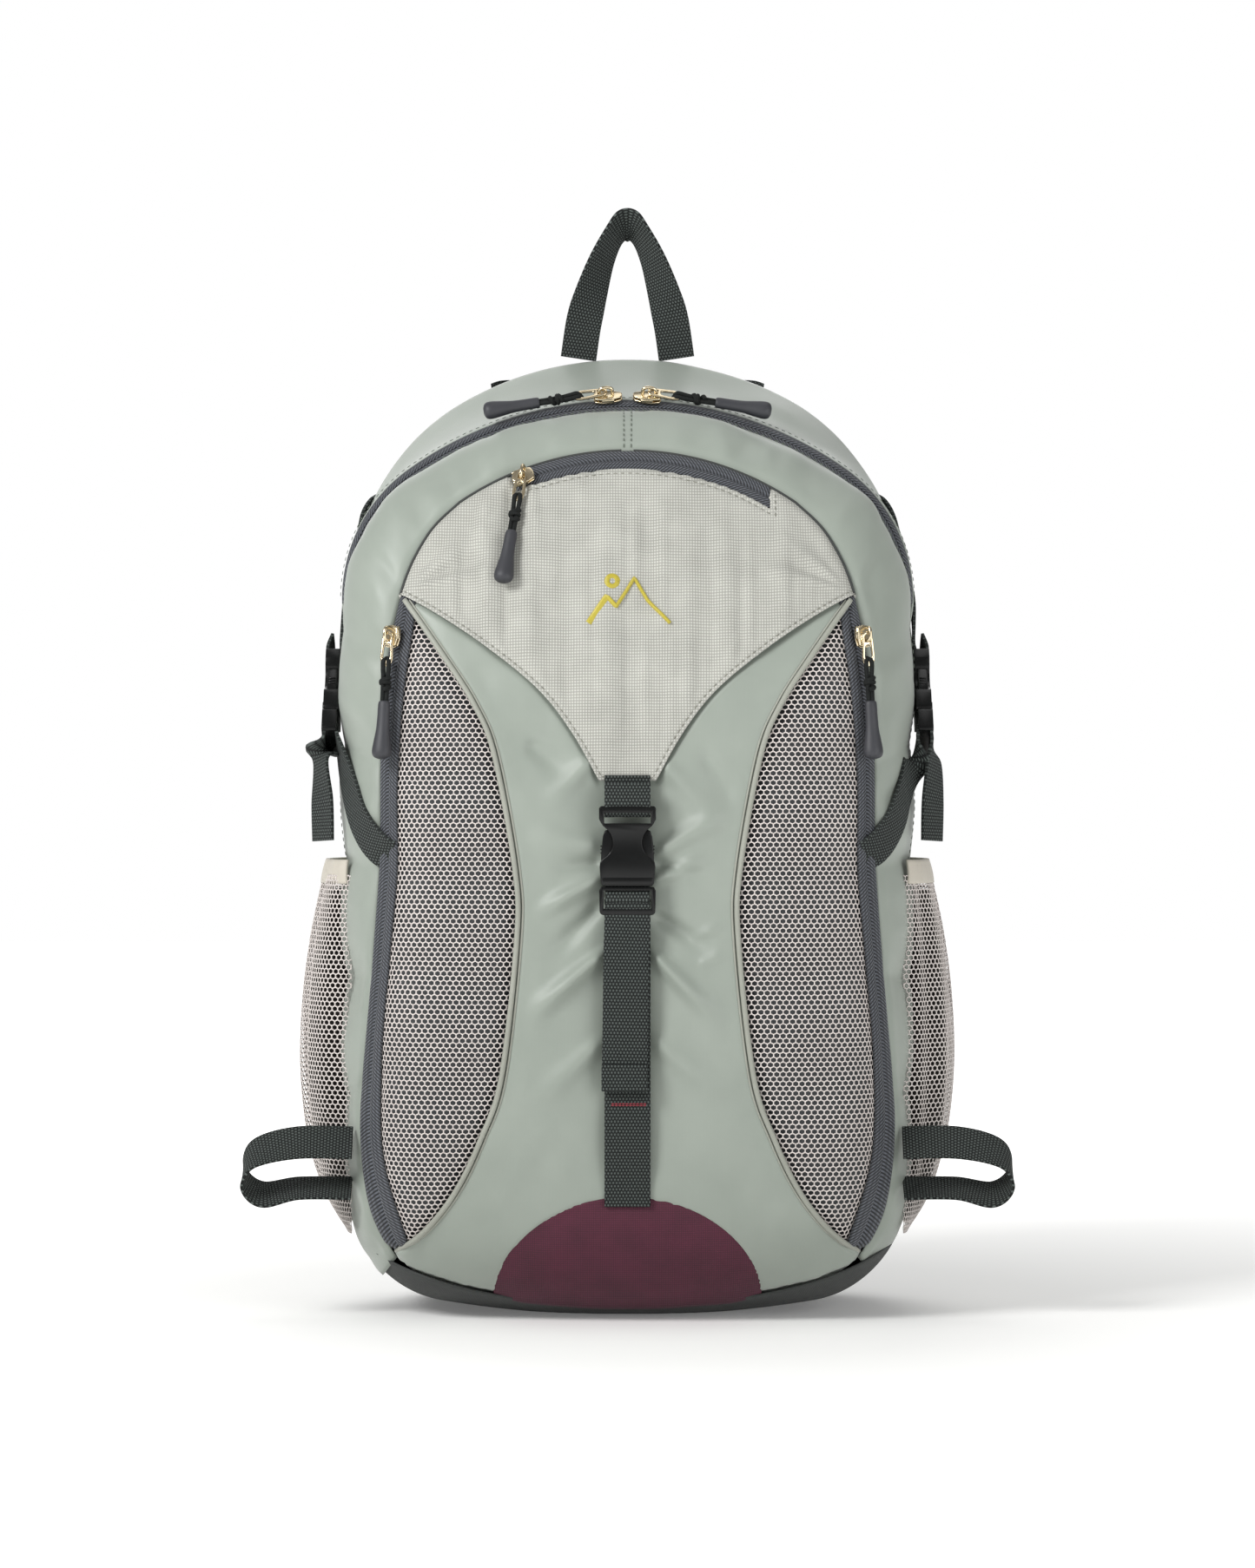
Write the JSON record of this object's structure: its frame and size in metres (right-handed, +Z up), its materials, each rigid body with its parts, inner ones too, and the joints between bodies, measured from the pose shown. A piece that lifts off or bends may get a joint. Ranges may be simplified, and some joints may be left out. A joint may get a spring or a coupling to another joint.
{
  "type": "daypack",
  "caption": "Panel-loading hiking daypack with a fold-down zipped lid, mesh front pockets, buckled front strap, haul loop and padded harness.",
  "frame": {"origin": "middle of the bounding box's base", "axes": "+Z up, front of the bag towards -Y, +X to the right seen from the front"},
  "size_m": [0.4106, 0.2512, 0.6075],
  "materials": {
    "sage_nylon": "soft sheen plain weave",
    "grey_ripstop": "matt grid weave",
    "burgundy_nylon": "grid weave",
    "charcoal_nylon": "matt plain weave",
    "taupe_mesh": "open knitted mesh",
    "zip_tape": "woven tape",
    "webbing": "ribbed weave",
    "lining": "plain weave",
    "air_mesh": "spacer knit over foam",
    "acetal": "moulded satin",
    "rubber": "moulded",
    "frame_sheet_board": "sheet",
    "nickel": "pale polished"
  },
  "bodies": {
    "bag": {"back_panel": "air_mesh", "frame_sheet": "frame_sheet_board", "hydration_sleeve": "lining", "rear_gusset": "sage_nylon", "side_panel_left": "sage_nylon", "side_panel_right": "sage_nylon", "base_panel": "charcoal_nylon", "base_accent": "burgundy_nylon", "front_panel": "sage_nylon", "mesh_panel_left": "taupe_mesh", "mesh_panel_right": "taupe_mesh", "front_lining": "lining", "mesh_zip_tape_left": "zip_tape", "mesh_zip_tape_right": "zip_tape", "yoke_lower": "grey_ripstop", "main_zip_tape_rear": "zip_tape", "front_strap_upper": "webbing", "front_buckle_socket": "acetal", "front_buckle_frame": "acetal", "front_strap_lower": "webbing", "tool_loop_left": "webbing", "tool_loop_right": "webbing", "bottle_pocket_left": "taupe_mesh", "bottle_pocket_right": "taupe_mesh", "side_strap_upper_left": "webbing", "side_buckle_socket_left": "acetal", "side_buckle_frame_left": "acetal", "side_strap_lower_left": "webbing", "shoulder_strap_left": "air_mesh", "ladder_lock_left": "acetal", "shoulder_webbing_left": "webbing", "side_strap_upper_right": "webbing", "side_buckle_socket_right": "acetal", "side_buckle_frame_right": "acetal", "side_strap_lower_right": "webbing", "shoulder_strap_right": "air_mesh", "ladder_lock_right": "acetal", "shoulder_webbing_right": "webbing"},
    "lid": {"front_gusset": "sage_nylon", "yoke_upper": "grey_ripstop", "pocket_zip_tape": "zip_tape", "main_zip_tape_front": "zip_tape"},
    "haul_loop": {"haul_loop": "webbing"},
    "front_lever_left": {"front_lever_left": "acetal"},
    "front_lever_right": {"front_lever_right": "acetal"},
    "main_left_slider": {"main_left_slider": "nickel"},
    "main_left_pull": {"main_left_pull_tab": "nickel", "main_left_pull_grip": "rubber"},
    "main_right_slider": {"main_right_slider": "nickel"},
    "main_right_pull": {"main_right_pull_tab": "nickel", "main_right_pull_grip": "rubber"},
    "pocket_slider": {"pocket_slider": "nickel"},
    "pocket_pull": {"pocket_pull_tab": "nickel", "pocket_pull_grip": "rubber"},
    "mesh_left_slider": {"mesh_left_slider": "nickel"},
    "mesh_left_pull": {"mesh_left_pull_tab": "nickel", "mesh_left_pull_grip": "rubber"},
    "mesh_right_slider": {"mesh_right_slider": "nickel"},
    "mesh_right_pull": {"mesh_right_pull_tab": "nickel", "mesh_right_pull_grip": "rubber"}
  },
  "joints": [
    {"name": "lid_open", "type": "hinge", "parent": "bag", "child": "lid", "pos_m": [0, -0.0963, 0.38494], "axis": [1, 0, 0], "range_deg": [0, 80]},
    {"name": "main_left_slide", "type": "hinge", "parent": "lid", "child": "main_left_slider", "pos_m": [0, -0.02286, 0.285], "axis": [0, -1, 0], "range_deg": [0, 31.6]},
    {"name": "main_right_slide", "type": "hinge", "parent": "lid", "child": "main_right_slider", "pos_m": [0, -0.02286, 0.285], "axis": [0, 1, 0], "range_deg": [0, 31.6]},
    {"name": "pocket_slide", "type": "hinge", "parent": "lid", "child": "pocket_slider", "pos_m": [0.00002, -0.10066, 0.31497], "axis": [-0.0001, 0.9708, -0.2401], "range_deg": [0, 48.5]},
    {"name": "mesh_left_slide", "type": "hinge", "parent": "bag", "child": "mesh_left_slider", "pos_m": [-0.2676, 0.96438, 0.26214], "axis": [0.9899, 0.1299, -0.0572], "range_deg": [0, 8.7]},
    {"name": "mesh_right_slide", "type": "hinge", "parent": "bag", "child": "mesh_right_slider", "pos_m": [0.2676, 0.96438, 0.26214], "axis": [0.9899, -0.1299, 0.0572], "range_deg": [0, 8.7]},
    {"name": "main_left_pull_lift", "type": "hinge", "parent": "main_left_slider", "child": "main_left_pull", "pos_m": [-0.01183, -0.02286, 0.49767], "axis": [0, 1, 0], "range_deg": [0, 100]},
    {"name": "main_right_pull_lift", "type": "hinge", "parent": "main_right_slider", "child": "main_right_pull", "pos_m": [0.01183, -0.02286, 0.49767], "axis": [0, -1, 0], "range_deg": [0, 100]},
    {"name": "pocket_pull_lift", "type": "hinge", "parent": "pocket_slider", "child": "pocket_pull", "pos_m": [-0.05618, -0.0721, 0.45069], "axis": [-0.9782, 0.197, 0.0661], "range_deg": [0, 90]},
    {"name": "mesh_left_pull_lift", "type": "hinge", "parent": "mesh_left_slider", "child": "mesh_left_pull", "pos_m": [-0.12688, -0.09339, 0.36377], "axis": [-0.755, 0.654, -0.0475], "range_deg": [0, 100]},
    {"name": "mesh_right_pull_lift", "type": "hinge", "parent": "mesh_right_slider", "child": "mesh_right_pull", "pos_m": [0.12688, -0.09339, 0.36377], "axis": [-0.755, -0.654, 0.0475], "range_deg": [0, 100]},
    {"name": "front_lever_left_press", "type": "slide", "parent": "bag", "child": "front_lever_left", "axis": [1, 0, 0], "range_m": [0, 0.0025], "stiffness_N_per_m": 2000},
    {"name": "front_lever_right_press", "type": "slide", "parent": "bag", "child": "front_lever_right", "axis": [-1, 0, 0], "range_m": [0, 0.0025], "stiffness_N_per_m": 2000},
    {"name": "haul_loop_fold", "type": "hinge", "parent": "bag", "child": "haul_loop", "pos_m": [0, 0.05914, 0.523], "axis": [1, 0, 0], "range_deg": [-60, 60]}
  ],
  "couplings": [
    {"joint": "main_left_slide", "follows": "lid_open", "ratio": 0.395},
    {"joint": "main_right_slide", "follows": "lid_open", "ratio": 0.395},
    {"joint": "front_lever_right_press", "follows": "front_lever_left_press", "ratio": 1}
  ]
}
